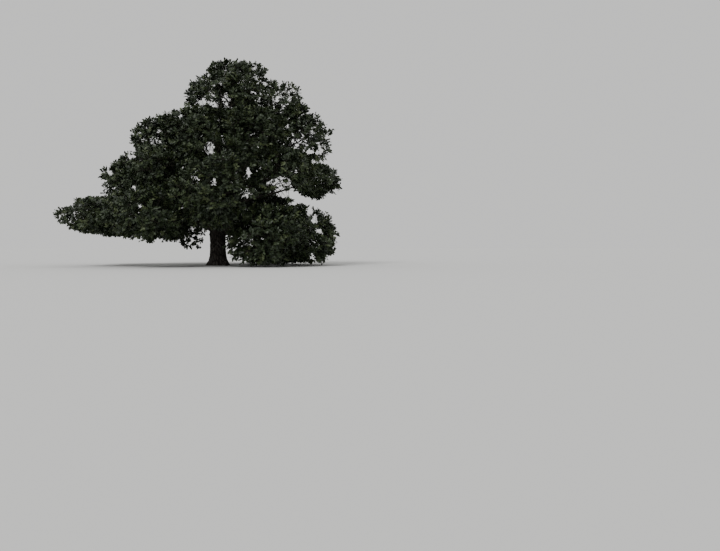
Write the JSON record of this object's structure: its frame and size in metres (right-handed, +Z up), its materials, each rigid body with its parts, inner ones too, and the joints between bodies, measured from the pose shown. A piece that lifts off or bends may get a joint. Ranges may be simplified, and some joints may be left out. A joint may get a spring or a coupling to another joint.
{
  "type": "oak tree",
  "caption": "Broad evergreen oak grown in the open: a short flared trunk, boughs that spread to all sides, and a dense domed crown of leafy masses that comes down low",
  "frame": {"origin": "the middle of the flat cut under the trunk, at ground level", "axes": "+Z is up, +X is to the right of the tree's front along its longest spread, and +Y is to its back"},
  "size_m": [19.8505, 17.7077, 15.0654],
  "materials": {
    "bark": "rough furrowed grey-brown bark",
    "leaves": "leathery dark green leaves with a slight gloss"
  },
  "bodies": {
    "root": {"trunk": "bark", "bough_skirt_14": "bark", "foliage_skirt_14": "leaves", "bough_skirt_50": "bark", "foliage_skirt_50": "leaves", "bough_skirt_86": "bark", "foliage_skirt_86": "leaves", "bough_skirt_122": "bark", "foliage_skirt_122": "leaves", "bough_skirt_158": "bark", "foliage_skirt_158": "leaves", "bough_skirt_194": "bark", "foliage_skirt_194": "leaves", "bough_skirt_230": "bark", "foliage_skirt_230": "leaves", "bough_skirt_266": "bark", "foliage_skirt_266": "leaves", "bough_skirt_302": "bark", "foliage_skirt_302": "leaves", "bough_skirt_338": "bark", "foliage_skirt_338": "leaves", "bough_lower_0": "bark", "foliage_lower_0": "leaves", "bough_lower_45": "bark", "foliage_lower_45": "leaves", "bough_lower_90": "bark", "foliage_lower_90": "leaves", "bough_lower_135": "bark", "foliage_lower_135": "leaves", "bough_lower_180": "bark", "foliage_lower_180": "leaves", "bough_lower_225": "bark", "foliage_lower_225": "leaves", "bough_lower_270": "bark", "foliage_lower_270": "leaves", "bough_lower_315": "bark", "foliage_lower_315": "leaves", "bough_middle_0": "bark", "foliage_middle_0": "leaves", "bough_middle_60": "bark", "foliage_middle_60": "leaves", "bough_middle_120": "bark", "foliage_middle_120": "leaves", "bough_middle_180": "bark", "foliage_middle_180": "leaves", "bough_middle_240": "bark", "foliage_middle_240": "leaves", "bough_middle_300": "bark", "foliage_middle_300": "leaves", "bough_upper_0": "bark", "foliage_upper_0": "leaves", "bough_upper_90": "bark", "foliage_upper_90": "leaves", "bough_upper_180": "bark", "foliage_upper_180": "leaves", "bough_upper_270": "bark", "foliage_upper_270": "leaves", "leader": "bark", "foliage_top_0": "leaves"}
  },
  "joints": []
}
